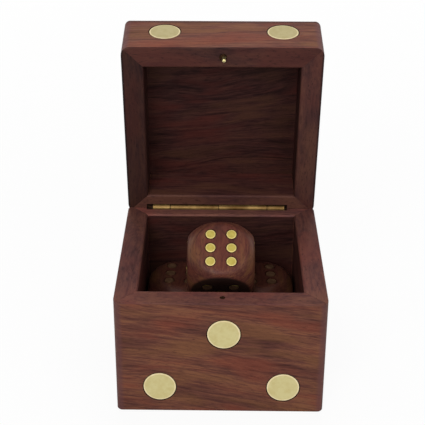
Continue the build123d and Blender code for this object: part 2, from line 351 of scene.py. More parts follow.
@dataclass(frozen=True)
class Sheesham:
    """Oiled and buffed sheesham, with its grain along the local X of a turn given in the shut box.

    Corners hold half the box's width, half its depth and the reach of the darker wood there,
    which is partly the wood's own colour and partly painted shade. A painted side or crown shade
    says how far out or up the wood is painted dark. A painted shade face has the way that it
    looks and its distance from the centre. Wood without one of these leaves it out.
    """

    name: str
    tone: WoodTone = SHEESHAM_TONE
    centre: Triple = (0.0, 0.0, 0.0)
    turn: Triple = (0.0, 0.0, 0.0)
    on_lid: bool = False
    streak: float = 1.2 * MM
    zone: float = 9.0 * MM
    pore: float = 0.26 * MM
    waviness: float = 4.0 * MM
    lines: float = 0.35
    patches: float = 0.5
    contrast: float = 1.0
    ladder: float = 1.0
    swirl: float = 5.0
    roughness: float = 0.5
    specular: float = 0.1
    corners: Triple | None = None
    painted_side_shade: float | None = None
    painted_crown_shade: float | None = None
    painted_shade_face: tuple[Triple, float] | None = None

    def material(self) -> Material:
        """Build the finish.

        Returns:
            The material, on Object coordinates that are turned to the grain.
        """
        made, sheet = empty_material(self.name)
        place = sheet.place()
        # the open lid's wood is laid out where it would be on the shut box
        if self.on_lid:
            pivot = HINGE_AT - TO_OPEN.to_3x3() @ HINGE_AT
            place = sheet.measured(place, pivot, TO_OPEN.to_euler())
        grain = self.wandering(sheet, sheet.measured(place, self.centre, self.turn))
        streaks = self.noise(sheet, grain, self.streak, length=22.0, detail=4.0)
        zones = self.noise(sheet, grain, self.zone, length=5.0, detail=1.0)
        flecks = self.noise(sheet, grain, self.streak * 0.34, length=13.0, detail=2.0)
        hues = self.noise(sheet, grain, self.zone * 0.8, length=4.0, detail=2.0, shift=0.31)
        pores = self.noise(sheet, grain, self.pore, length=8.0, detail=2.0, shift=0.17)
        pores = sheet.between(pores, 0.58, 0.70, 0.0, 0.6)
        shade = self.streaked(sheet, streaks, zones, flecks)
        shade = sheet.mixed(sheet.between(hues, 0.50, 0.66, 0.0, self.patches), shade, self.tone.red)
        shade = sheet.mixed(sheet.between(hues, 0.47, 0.33, 0.0, self.patches), shade, self.tone.ochre)
        shade = sheet.mixed(self.growth_lines(sheet, grain, zones), shade, self.tone.line)
        shade = self.corners_and_painted_shade(sheet, place, sheet.mixed(pores, shade, self.tone.line))
        relief = sheet.maths("SUBTRACT", sheet.maths("MULTIPLY", flecks, 0.4), pores)
        gloss = sheet.between(streaks, 0.35, 0.65, self.roughness - 0.05, self.roughness + 0.07)
        sheet.surface(
            relief, 0.3, 0.05 * MM, Base_Color=shade, Roughness=gloss, Specular_IOR_Level=self.specular
        )
        return made

    def wandering(self, sheet: NodeSheet, place: Socket) -> Socket:
        """Bend the grain a little across its run.

        Args:
            sheet: The node sheet.
            place: Coordinates with the grain along X.

        Returns:
            The bent coordinates.
        """
        slow = sheet.vector("MULTIPLY", place, (0.5, 1.0, 1.0))
        drift = sheet.add("ShaderNodeTexNoise", Vector=slow, Scale=30.0, Detail=2.0).outputs["Color"]
        return sheet.vector("MULTIPLY_ADD", drift, (0.0, self.waviness * 2, self.waviness * 2), place)

    def noise(
        self, sheet: NodeSheet, place: Socket, width: float, length: float, detail: float, shift: float = 0.0
    ) -> Socket:
        """Give a noise that runs along the grain, in layers that lie across its Z.

        Args:
            sheet: The node sheet.
            place: Coordinates with the grain along X.
            width: Size of a feature across the layers, in metres.
            length: How many times longer than wide a feature is.
            detail: Octaves of the noise.
            shift: Move along the grain, so that two noises differ.

        Returns:
            The noise, 0 to 1.
        """
        squeezed = sheet.vector("MULTIPLY_ADD", place, (1 / length, 0.4, 1.0), (shift, shift, 0.0))
        return sheet.noise(squeezed, width, detail, Roughness=0.55)

    def streaked(self, sheet: NodeSheet, streaks: Socket, zones: Socket, flecks: Socket) -> Socket:
        """Give the wood's light and dark, from the tone's colours.

        Args:
            sheet: The node sheet.
            streaks: The long streaks, 0 to 1.
            zones: The wide zones of growth.
            flecks: The short flecks.

        Returns:
            The colour.
        """
        parts = ((streaks, 0.38), (zones, 0.27), (flecks, 0.35))
        long, wide, short = [sheet.maths("MULTIPLY", part, share) for part, share in parts]
        depth = sheet.maths("ADD", sheet.maths("ADD", long, wide), short)
        made = sheet.add("ShaderNodeValToRGB", Fac=depth)
        stops = (
            (-0.115, self.tone.light),
            (-0.02, self.tone.middle),
            (0.06, self.tone.dark),
            (0.15, self.tone.line),
        )
        ramp = made.color_ramp.elements
        while len(ramp) < len(stops):
            ramp.new(0.5)
        for element, (place, shade) in zip(ramp, stops):
            element.position = 0.5 + place / self.contrast
            element.color = shade
        return made.outputs[0]

    def growth_lines(self, sheet: NodeSheet, place: Socket, zones: Socket) -> Socket:
        """Give the thin dark growth lines, which follow the zones.

        Args:
            sheet: The node sheet.
            place: Coordinates with the grain along X.
            zones: The wide zones of growth.

        Returns:
            The lines, 0 to 1.
        """
        rungs = sheet.maths("DIVIDE", sheet.part(place, "Z"), self.zone * self.ladder)
        ladder = sheet.maths("ADD", rungs, sheet.maths("MULTIPLY", zones, self.swirl))
        near = sheet.maths("ABSOLUTE", sheet.maths("SUBTRACT", sheet.maths("FRACT", ladder), 0.5))
        broken = self.noise(sheet, place, self.zone, length=3.0, detail=1.0, shift=0.53)
        fade = sheet.between(broken, 0.46, 0.62, 0.0, self.lines)
        return sheet.maths("MULTIPLY", sheet.between(near, 0.0, 0.10, 1.0, 0.0), fade)

    def corners_and_painted_shade(self, sheet: NodeSheet, place: Socket, shade: Socket) -> Socket:
        """Darken the wood at its corners, partly its own colour and partly painted shade, and paint shade on
        the lid's edges and on one face of a die.

        Args:
            sheet: The node sheet.
            place: Coordinates of the shut box.
            shade: The wood's colour.

        Returns:
            The colour with what was darkened.
        """
        # darker wood at the rounded vertical corners: partly the wood's own colour, partly painted shade
        if self.corners:
            half_width, half_depth, reach = self.corners
            sides = ((sheet.part(place, "X"), half_width), (sheet.part(place, "Y"), half_depth))
            near = [sheet.past(sheet.maths("ABSOLUTE", out), half - reach, 0.6 * MM) for out, half in sides]
            share = sheet.maths("MULTIPLY", sheet.maths("MULTIPLY", *near), 0.6)
            shade = sheet.mixed(share, shade, self.tone.corner)
        # painted shade along the lid's side edges
        if self.painted_side_shade:
            out = sheet.maths("ABSOLUTE", sheet.part(place, "X"))
            shade = sheet.mixed(sheet.past(out, self.painted_side_shade, 0.25 * MM, 0.8), shade, self.tone.line)
        # painted shade along the lid front's crown
        if self.painted_crown_shade:
            height = sheet.part(place, "Z")
            shade = sheet.mixed(sheet.past(height, self.painted_crown_shade, 0.25 * MM, 0.75), shade, self.tone.line)
        # painted shade: one face of the top die is painted near black
        if self.painted_shade_face:
            facing, height = self.painted_shade_face
            out = sheet.vector("DOT_PRODUCT", sheet.vector("SUBTRACT", place, self.centre), facing)
            shade = sheet.mixed(sheet.past(out, height, 0.3 * MM, 0.93), shade, PAINTED_SHADE_WOOD)
        return shade


@dataclass(frozen=True)
class RecessShade:
    """Dark wood on the cut faces of pockets, grooves and holes: painted shade in these recesses."""

    name: str
    shade: Colour = colour(58, 36, 20)
    darker_patch: Colour = colour(24, 14, 9)
    patch: float = MM / 1.4

    def material(self) -> Material:
        """Build the finish, darker in patches.

        Returns:
            The material.
        """
        made, sheet = empty_material(self.name)
        patches = sheet.noise(sheet.place(), self.patch, 3.0)
        shade = sheet.mixed(sheet.between(patches, 0.4, 0.6), self.shade, self.darker_patch)
        sheet.surface(patches, 0.4, 0.05 * MM, Base_Color=shade, Roughness=0.85, Specular_IOR_Level=0.1)
        return made


@dataclass(frozen=True)
class Brass:
    """Brass that was sanded flush with the wood and buffed."""

    name: str
    shade: Colour = colour(206, 195, 142)
    worn: Colour = colour(199, 185, 130)
    roughness: float = 0.38
    patch: float = 2.4 * MM
    mark: float = MM / 5.2

    def material(self) -> Material:
        """Build the finish, with fine sanding marks and a slight unevenness.

        Returns:
            The material.
        """
        made, sheet = empty_material(self.name)
        place = sheet.place()
        patches = sheet.noise(place, self.patch, 4.0, Roughness=0.6)
        marks = sheet.noise(sheet.vector("MULTIPLY", place, (0.08, 1.0, 1.0)), self.mark, 2.0)
        shade = sheet.mixed(sheet.between(patches, 0.40, 0.66), self.shade, self.worn)
        gloss = sheet.between(marks, 0.3, 0.7, self.roughness - 0.06, self.roughness + 0.08)
        height = sheet.maths("ADD", sheet.maths("MULTIPLY", marks, 0.3), patches)
        sheet.surface(height, 0.12, 0.03 * MM, Base_Color=shade, Roughness=gloss, Metallic=1.0)
        return made


# dark finish of cut faces: painted shade in pockets, grooves and holes
RECESS_SHADE = RecessShade("bare_cut").material()
PIP_BRASS = Brass("inlay_brass").material()
# a darker copy of the pip brass for the lid's upward-facing front: painted shade
PAINTED_SHADE_LID_BRASS = Brass("worn_inlay_brass", colour(188, 175, 128), colour(180, 166, 116)).material()
# paler brass on the pips' broken edges: painted highlight
HIGHLIGHT_RING_BRASS = Brass("inlay_ring_brass", colour(228, 212, 172), colour(218, 200, 152), 0.5).material()
DICE_BRASS = Brass("dice_brass", colour(190, 174, 92), colour(174, 156, 76), 0.4).material()
# paler brass on the dice pips' broken edges: painted highlight
DICE_HIGHLIGHT_RING_BRASS = Brass("dice_ring_brass", colour(208, 190, 126), colour(196, 176, 108), 0.5).material()
# darker brass for dice pips that lie in shade: painted shade
PAINTED_SHADE_DICE_BRASS = Brass("dull_dice_brass", colour(120, 91, 68), colour(94, 68, 50), 0.65).material()
HINGE_BRASS = Brass("hinge_brass", colour(148, 120, 74), colour(96, 70, 38), 0.6, 9 * MM).material()


# ------------------------------------------------------------------ making pieces
class Cover(IntEnum):
    """The finishes of a board, by their places among its materials."""

    OUTSIDE = 0
    INSIDE = 1
    RIM = 2
    CUT = 3


def piece_of(name: str, shape: Shape, materials: Sequence[Material] = ()) -> Piece:
    """Turn a shape into an object that stands at the origin.

    Args:
        name: Name of the piece.
        shape: The shape, which is used up.
        materials: Its materials, by the face's material index.

    Returns:
        The object, in the scene.
    """
    mesh = bpy.data.meshes.new(name)
    shape.to_mesh(mesh)
    shape.free()
    for material in materials:
        mesh.materials.append(material)
    made = bpy.data.objects.new(name, mesh)
    bpy.context.scene.collection.objects.link(made)
    return made


def settled(piece: Piece) -> Piece:
    """Put an object's modifiers into its mesh and take them off.

    Args:
        piece: The object.

    Returns:
        The same object, with a plain mesh.
    """
    bpy.context.view_layer.update()
    shape = piece.evaluated_get(bpy.context.evaluated_depsgraph_get())
    mesh = bpy.data.meshes.new_from_object(shape)
    piece.modifiers.clear()
    old = piece.data
    piece.data = mesh
    bpy.data.meshes.remove(old)
    mesh.name = piece.name
    return piece


def carved(piece: Piece, cutters: Sequence[Piece]) -> Piece:
    """Cut shapes out of a piece.

    Args:
        piece: The object that is cut.
        cutters: Closed shapes, which are deleted afterwards.

    Returns:
        The same object.
    """
    for cutter in cutters:
        cut = piece.modifiers.new(cutter.name, "BOOLEAN")
        cut.operation = "DIFFERENCE"
        cut.solver = "EXACT"
        cut.object = cutter
        settled(piece)
        bpy.data.objects.remove(cutter)
    return piece


def eased(piece: Piece, width: float) -> Piece:
    """Break a piece's sharp edges and smooth its shading.

    Args:
        piece: The object.
        width: Width of the broken edge, in metres, or 0 for none.

    Returns:
        The same object.
    """
    if width:
        bevel = piece.modifiers.new("eased_edges", "BEVEL")
        bevel.width = width
        bevel.segments = EASE_STEPS
        bevel.limit_method = "ANGLE"
        bevel.angle_limit = EASED_FROM
        settled(piece)
    piece.data.shade_smooth()
    piece.data.set_sharp_from_angle(angle=SHARP_FROM)
    weighted = piece.modifiers.new("face_weighted", "WEIGHTED_NORMAL")
    weighted.keep_sharp = True
    return settled(piece)


def seat(piece: Piece, ease: float, body: str, node: str, turn: Matrix = AS_IT_STANDS) -> None:
    """Finish a piece and put it on its body, in place of the CAD node that it stands for.

    Args:
        piece: The object.
        ease: Width of its broken edges, or 0 for none.
        body: The body that it rides on.
        node: The CAD node that it replaces.
        turn: The matrix that brings it to its place at rest.
    """
    eased(piece, ease)
    piece.data.transform(turn)
    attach(piece, body)
    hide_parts(node)
    log.info("%s rides on %s: %d faces", piece.name, body, len(piece.data.polygons))


def rod(
    name: str, start: Vector, end: Vector, radius: float, sides: int = 64, cover: int = Cover.CUT
) -> Piece:
    """Make a plain round cutter.

    Args:
        name: Name of the cutter.
        start: Middle of one end.
        end: Middle of the other.
        radius: Its radius.
        sides: Its flats.
        cover: The material that it leaves on what it cuts.

    Returns:
        The closed cutter.
    """
    shape = bmesh.new()
    bmesh.ops.create_cone(
        shape, cap_ends=True, segments=sides, radius1=radius, radius2=radius, depth=(end - start).length
    )
    turn = UP.rotation_difference(end - start).to_matrix().to_4x4()
    shape.transform(Matrix.Translation((start + end) / 2) @ turn)
    for face in shape.faces:
        face.material_index = cover
    return piece_of(name, shape)


def prism(name: str, outline: Outline, start: float, end: float, cover: int = Cover.CUT) -> Piece:
    """Make a straight cutter along X.

    Args:
        name: Name of the cutter.
        outline: Its section in Y and Z.
        start: Where it starts along X.
        end: Where it ends.
        cover: The material that it leaves on what it cuts.

    Returns:
        The closed cutter.
    """
    shape = bmesh.new()
    near = [shape.verts.new((start, y, z)) for y, z in outline]
    far = [shape.verts.new((end, y, z)) for y, z in outline]
    shape.faces.new(near)
    shape.faces.new(far[::-1])
    for index in range(len(outline)):
        after = (index + 1) % len(outline)
        shape.faces.new((near[index], far[index], far[after], near[after]))
    bmesh.ops.recalc_face_normals(shape, faces=shape.faces)
    for face in shape.faces:
        face.material_index = cover
    return piece_of(name, shape)


def turned(name: str, outline: Outline, start: Vector, way: Vector, material: Material) -> Piece:
    """Turn an outline round an axis, as on a lathe.

    Args:
        name: Name of the piece.
        outline: Points of radius and distance along the axis, from end to end.
        start: Where the axis starts.
        way: Direction of the axis.
        material: The piece's material.

    Returns:
        The closed piece.
    """
    shape = bmesh.new()
    line = [shape.verts.new((radius, 0, height)) for radius, height in outline]
    edges = [shape.edges.new(pair) for pair in zip(line, line[1:])]
    bmesh.ops.spin(
        shape, geom=line + edges, cent=(0, 0, 0), axis=(0, 0, 1), angle=2 * pi, steps=LATHE_STEPS,
        use_merge=True,
    )
    bmesh.ops.remove_doubles(shape, verts=shape.verts, dist=WELD)
    bmesh.ops.recalc_face_normals(shape, faces=shape.faces)
    shape.transform(Matrix.Translation(start) @ UP.rotation_difference(way).to_matrix().to_4x4())
    return piece_of(name, shape, [material])


# ------------------------------------------------------------------ boards
class Side(Enum):
    """A side of the box, as quarter turns from the front."""

    FRONT = 0
    RIGHT = 1
    BACK = 2
    LEFT = 3

    def turn(self, size: int) -> Matrix:
        """Give the matrix, of 3 or 4 rows, that turns the front to this side."""
        return Matrix.Rotation(self.value * pi / 2, size, "Z")

    def facing(self) -> Vector:
        """Give the way that the side looks."""
        return self.turn(3) @ Vector((0, -1, 0))


@dataclass(frozen=True)
class Section:
    """Section of a mitred board: depth in from the outside, and height from its glued-up end to its rim."""

    wall: float
    height: float
    end_round: float
    rim_round: float
    lip_round: float
    rebate_width: float
    rebate_height: float
    round_steps: int = 6

    def outline(self) -> list[tuple[float, float]]:
        """List the section's points, round from the rebate by the outside and the rim.

        Returns:
            Each point's depth and height.
        """
        ledge = self.wall - self.rebate_width
        points = [(ledge, 0.0)]
        points += self.bend(self.end_round, self.end_round, self.end_round, 270)
        points += self.bend(self.rim_round, self.height - self.rim_round, self.rim_round, 180)
        points += self.bend(self.wall - self.lip_round, self.height - self.lip_round, self.lip_round, 90)
        points += [(self.wall, self.rebate_height), (ledge, self.rebate_height)]
        return points

    def bend(self, depth: float, height: float, radius: float, start: float) -> list[tuple[float, float]]:
        """List the points of a quarter circle that runs clockwise from an angle in degrees."""
        angles = [radians(start - 90 * step / self.round_steps) for step in range(self.round_steps + 1)]
        return [(depth + radius * cos(angle), height + radius * sin(angle)) for angle in angles]

    def inset(self, amount: float) -> list[tuple[float, float]]:
        """List the outline's points moved inwards, for the broken edge of a mitre.

        Args:
            amount: How far they move.

        Returns:
            Each point's depth and height.
        """
        points = self.outline()
        moved = []
        for index, (depth, height) in enumerate(points):
            before, after = points[index - 1], points[(index + 1) % len(points)]
            first = Vector((depth - before[0], height - before[1])).normalized()
            second = Vector((after[0] - depth, after[1] - height)).normalized()
            inward = Vector((first.y + second.y, -first.x - second.x)) / (1 + first.dot(second))
            moved.append((depth + inward.x * amount, height + inward.y * amount))
        return moved


@dataclass
class BoardFrame:
    """Four boards mitred round the box, for the base or for the lid."""

    half_width: float
    half_depth: float
    end: float
    upward: int
    section: Section
    rim_corner: float
    end_corner: float
    mitre_ease: float = 0.08 * MM
    straight_from: float = 1.2
    arc_steps: int = 8

    def halves(self, side: Side) -> tuple[float, float]:
        """Give the two sizes of a side.

        Args:
            side: The side.

        Returns:
            Half of its length, and how far out it stands.
        """
        if side in (Side.FRONT, Side.BACK):
            return self.half_width, self.half_depth
        return self.half_depth, self.half_width

    def corner(self, half_length: float, angle: float, shift: float, depth: float, height: float) -> Vector:
        """Give a point near a board's right end, on one cut through its rounded corner.

        Args:
            half_length: Half of the board's length.
            angle: Where the cut meets the corner's arc, from 0 at its start to the mitre.
            shift: How far the cut is held back from the mitre.
            depth: The point's depth in from the outside.
            height: Its height from the glued-up end.

        Returns:
            The point, by its length, depth and height.
        """
        rise = height / self.section.height
        corner = self.end_corner + (self.rim_corner - self.end_corner) * rise
        if depth >= corner:
            return Vector((half_length - depth - shift, depth, height))
        reach = corner - depth
        along = half_length - corner + reach * sin(angle) - shift
        return Vector((along, corner - reach * cos(angle), height))

    def rings(self, half_length: float) -> list[list[Vector]]:
        """List the rings of points across a board.

        Args:
            half_length: Half of the board's length.

        Returns:
            The rings from its left mitre to its right one.
        """
        full, small = self.section.outline(), self.section.inset(self.mitre_ease)
        held_back = self.mitre_ease * sqrt(2)
        angles = [pi / 4 * (1 - step / self.arc_steps) for step in range(self.arc_steps + 1)]
        straight = half_length - self.section.wall * self.straight_from
        right = [[self.corner(half_length, pi / 4, 0.0, *spot) for spot in small]]
        right += [[self.corner(half_length, angle, held_back, *spot) for spot in full] for angle in angles]
        right.append([Vector((straight, *spot)) for spot in full])
        left = [[Vector((-point.x, point.y, point.z)) for point in ring] for ring in right]
        return left + right[::-1]

    def board(self, side: Side, name: str, materials: Sequence[Material]) -> Piece:
        """Make one board, in the shut box's place.

        Args:
            side: The side that it closes.
            name: Name of the piece.
            materials: Its finishes, in the order of Cover.

        Returns:
            The board, without its pockets.
        """
        half_length, out = self.halves(side)
        shape = bmesh.new()
        rings = [[shape.verts.new(point) for point in ring] for ring in self.rings(half_length)]
        for near, far in zip(rings, rings[1:]):
            for index in range(len(near)):
                after = (index + 1) % len(near)
                shape.faces.new((near[index], near[after], far[after], far[index]))
        shape.faces.new(rings[0])
        shape.faces.new(rings[-1][::-1])
        bmesh.ops.remove_doubles(shape, verts=shape.verts, dist=WELD)
        bmesh.ops.dissolve_degenerate(shape, edges=shape.edges, dist=WELD)
        spare = 0.01 * MM
        rim = self.section.height - max(self.section.rim_round, self.section.lip_round) - spare
        for face in shape.faces:
            if all(vertex.co.y > self.section.wall - spare for vertex in face.verts):
                face.material_index = Cover.INSIDE
            elif all(vertex.co.z > rim for vertex in face.verts):
                face.material_index = Cover.RIM
        flip = Matrix.Diagonal((1, 1, self.upward, 1))
        lift = Matrix.Translation((0, 0, self.end))
        shape.transform(lift @ side.turn(4) @ Matrix.Translation((0, -out, 0)) @ flip)
        bmesh.ops.recalc_face_normals(shape, faces=shape.faces)
        return piece_of(name, shape, materials)


# ------------------------------------------------------------------ what repeats on points
class PointTree:
    """A Geometry Nodes tree that sets one shape on each point of a mesh."""

    NAME = "on_points"
    INPUTS: dict[str, str] = {}

    def __init__(self) -> None:
        """Lay out the tree."""
        self.tree = bpy.data.node_groups.new(self.NAME, "GeometryNodeTree")
        self.sheet = NodeSheet(self.tree)
        inputs = {"Geometry": "Geometry", **self.INPUTS}
        for name, kind in inputs.items():
            self.tree.interface.new_socket(name, in_out="INPUT", socket_type=f"NodeSocket{kind}")
        self.tree.interface.new_socket("Geometry", in_out="OUTPUT", socket_type="NodeSocketGeometry")
        self.given = self.sheet.add("NodeGroupInput").outputs
        self.sheet.add("NodeGroupOutput", Geometry=self.laid_out())

    def laid_out(self) -> Socket:
        """Give the geometry that the tree ends in."""
        raise NotImplementedError

    def mark(self, name: str, kind: str) -> Socket:
        """Give an attribute of the points."""
        return self.sheet.add("GeometryNodeInputNamedAttribute", {"data_type": kind}, Name=name).outputs[0]

    def spread(self, shape: Socket, **placing: Socket) -> Socket:
        """Set a shape on the points, make the copies real and give them the metal.

        Args:
            shape: The shape.
            **placing: How each copy is turned or stretched.

        Returns:
            The copies.
        """
        copies = self.sheet.add(
            "GeometryNodeInstanceOnPoints", Points=self.given["Geometry"], Instance=shape, **placing
        ).outputs[0]
        real = self.sheet.add("GeometryNodeRealizeInstances", Geometry=copies).outputs[0]
        metal = self.given["Metal"]
        return self.sheet.add("GeometryNodeSetMaterial", Geometry=real, Material=metal).outputs[0]

    def grown(
        self,
        name: str,
        points: Sequence[Vector],
        mark: str,
        values: Sequence[object],
        inputs: dict[str, object],
    ) -> Piece:
        """Run the tree on points and keep the result as a plain mesh.

        Args:
            name: Name of the piece.
            points: The points that it starts from.
            mark: The attribute of the points that the tree reads.
            values: The attribute's value at each point, numbers or vectors.
            inputs: The tree's inputs by name.

        Returns:
            The finished object.
        """
        mesh = bpy.data.meshes.new(name)
        mesh.from_pydata([tuple(point) for point in points], [], [])
        is_vector = isinstance(values[0], Vector)
        held = mesh.attributes.new(mark, "FLOAT_VECTOR" if is_vector else "FLOAT", "POINT").data
        for entry, value in zip(held, values):
            setattr(entry, "vector" if is_vector else "value", value)
        made = bpy.data.objects.new(name, mesh)
        bpy.context.scene.collection.objects.link(made)
        nodes = made.modifiers.new("nodes", "NODES")
        nodes.node_group = self.tree
        for entry in self.tree.interface.items_tree:
            if entry.in_out == "INPUT" and entry.name in inputs:
                nodes[entry.identifier] = inputs[entry.name]
        return settled(made)


@dataclass(frozen=True)
class Inlay:
    """Sizes of one kind of brass inlay: the edge is broken over the width of the ring."""

    radius: float
    thickness: float
    edge: float
    ring: float
    sides: int


class InlayTree(PointTree):
    """Geometry Nodes that set a disc with a broken edge on each point, facing its own way."""

    NAME = "inlays"
    INPUTS = {
        "Radius": "Float", "Thickness": "Float", "Edge": "Float", "Ring": "Float", "Sides": "Int",
        "Metal": "Material", "Ring Metal": "Material",
    }

    def laid_out(self) -> Socket:
        """Lay out the discs.

        Returns:
            The discs, with the ring's metal on their broken edges, where paler brass is a painted highlight.
        """
        sheet, given = self.sheet, self.given
        disc = sheet.add(
            "GeometryNodeMeshCircle", {"fill_type": "NGON"}, Vertices=given["Sides"], Radius=given["Radius"]
        )
        drop = sheet.add("ShaderNodeCombineXYZ", Z=sheet.maths("MULTIPLY", given["Thickness"], -1.0))
        floor = sheet.add(
            "GeometryNodeTransform", Geometry=disc.outputs[0], Translation=drop.outputs[0]
        ).outputs[0]
        under = sheet.add("GeometryNodeFlipFaces", Mesh=floor).outputs[0]
        straight = sheet.maths("SUBTRACT", given["Thickness"], given["Edge"])
        raised = {"mode": "FACES"}
        side = sheet.add("GeometryNodeExtrudeMesh", raised, Mesh=floor, Offset_Scale=straight).outputs
        rim = sheet.add(
            "GeometryNodeExtrudeMesh", raised,
            Mesh=side["Mesh"], Selection=side["Top"], Offset_Scale=given["Edge"],
        ).outputs
        inner = sheet.maths("SUBTRACT", given["Radius"], given["Ring"])
        share = sheet.maths("DIVIDE", inner, given["Radius"])
        top = sheet.add("GeometryNodeScaleElements", Geometry=rim["Mesh"], Selection=rim["Top"], Scale=share)
        joined = sheet.add("GeometryNodeJoinGeometry")
        sheet.feed(joined.inputs[0], top.outputs[0])
        sheet.feed(joined.inputs[0], under)
        whole = sheet.add("GeometryNodeMergeByDistance", Geometry=joined.outputs[0], Distance=WELD).outputs[0]
        facing = self.mark("facing", "FLOAT_VECTOR")
        turn = sheet.add("FunctionNodeAlignRotationToVector", {"axis": "Z"}, Vector=facing).outputs[0]
        plain = self.spread(whole, Rotation=turn)
        return sheet.add(
            "GeometryNodeSetMaterial", Geometry=plain, Selection=rim["Side"], Material=given["Ring Metal"]
        ).outputs[0]

    def discs(
        self, name: str, points: Sequence[Vector], facings: Sequence[Vector], inlay: Inlay,
        metals: tuple[Material, Material],
    ) -> Piece:
        """Set discs on points.

        Args:
            name: Name of the piece.
            points: Middle of each disc's face.
            facings: The way that each disc looks.
            inlay: Their sizes.
            metals: Their brass, and that of the ring round each, which is a painted highlight where it is
                paler.

        Returns:
            One object with all the discs, as a plain mesh.
        """
        inputs = dict(zip(self.INPUTS, (*astuple(inlay), *metals)))
        return self.grown(name, points, "facing", facings, inputs)


class KnuckleTree(PointTree):
    """Geometry Nodes that roll a strip of sheet round the hinge's axis at each point."""

    NAME = "knuckles"
    STEPS = 56
    INPUTS = {"Radius": "Float", "Start": "Float", "Sweep": "Float", "Metal": "Material"}

    def laid_out(self) -> Socket:
        """Lay out the strips.

        Returns:
            The strips, each as long as its point says.
        """
        sheet, given = self.sheet, self.given
        strip = sheet.add("GeometryNodeMeshGrid", Size_X=1.0, Size_Y=1.0, Vertices_X=2, Vertices_Y=self.STEPS)
        place = sheet.add("GeometryNodeInputPosition").outputs[0]
        along = sheet.maths("ADD", sheet.part(place, "X"), 0.5)
        share = sheet.maths("ADD", sheet.part(place, "Y"), 0.5)
        angle = sheet.maths("ADD", given["Start"], sheet.maths("MULTIPLY", share, given["Sweep"]))
        outward = sheet.maths("MULTIPLY", given["Radius"], sheet.maths("COSINE", angle))
        upward = sheet.maths("MULTIPLY", given["Radius"], sheet.maths("SINE", angle))
        bent = sheet.add("ShaderNodeCombineXYZ", X=along, Y=outward, Z=upward).outputs[0]
        rolled = sheet.add("GeometryNodeSetPosition", Geometry=strip.outputs[0], Position=bent).outputs[0]
        scale = sheet.add("ShaderNodeCombineXYZ", X=self.mark("span", "FLOAT"), Y=1.0, Z=1.0).outputs[0]
        return self.spread(rolled, Scale=scale)


# ------------------------------------------------------------------ the box
@dataclass(frozen=True)
class BoardLook:
    """A board's inlays, the slope of its grain in degrees, and the light in its three finishes:
    partly the wood's own tone, partly painted light and shade.
    """

    pips: str
    slope: float
    outside: float
    inside: float
    rim: float
    metal: Material = PIP_BRASS


# painted light: the lid's upward front, the lid back's inside and the base's back rim are lighter; insides
# are darker with painted shade; rims also differ in their own tone
BASE_LOOKS = {
    Side.FRONT: BoardLook("base_front_pips", 8.0, 1.03, 0.44, 1.0),
    Side.RIGHT: BoardLook("base_right_pips", -3.0, 1.0, 0.46, 1.1),
    Side.BACK: BoardLook("base_back_pip", 2.0, 1.0, 0.44, 1.5),
    Side.LEFT: BoardLook("base_left_pips", 4.0, 1.0, 0.46, 0.98),
}
LID_LOOKS = {
    Side.FRONT: BoardLook("lid_front_pips", -1.5, 1.2, 0.28, 0.5, PAINTED_SHADE_LID_BRASS),
    Side.RIGHT: BoardLook("lid_right_pip", 3.0, 1.0, 0.28, 0.6),
    Side.BACK: BoardLook("lid_back_pip", -2.0, 1.0, 0.62, 0.77),
    Side.LEFT: BoardLook("lid_left_pips", -3.0, 1.0, 0.28, 0.31),
}


@dataclass(frozen=True)
class Half:
    """The base or the lid of the shut box, from its glued-up end to its rim."""

    body: str
    turn: Matrix
    upward: int
    end: float
    height: float
    end_round: float
    panel: str
    panel_pips: str
    panel_height: float
    panel_light: float
    looks: dict[Side, BoardLook]

    @property
    def on_lid(self) -> bool:
        """Tell whether this is the lid."""
        return self.body == "lid"


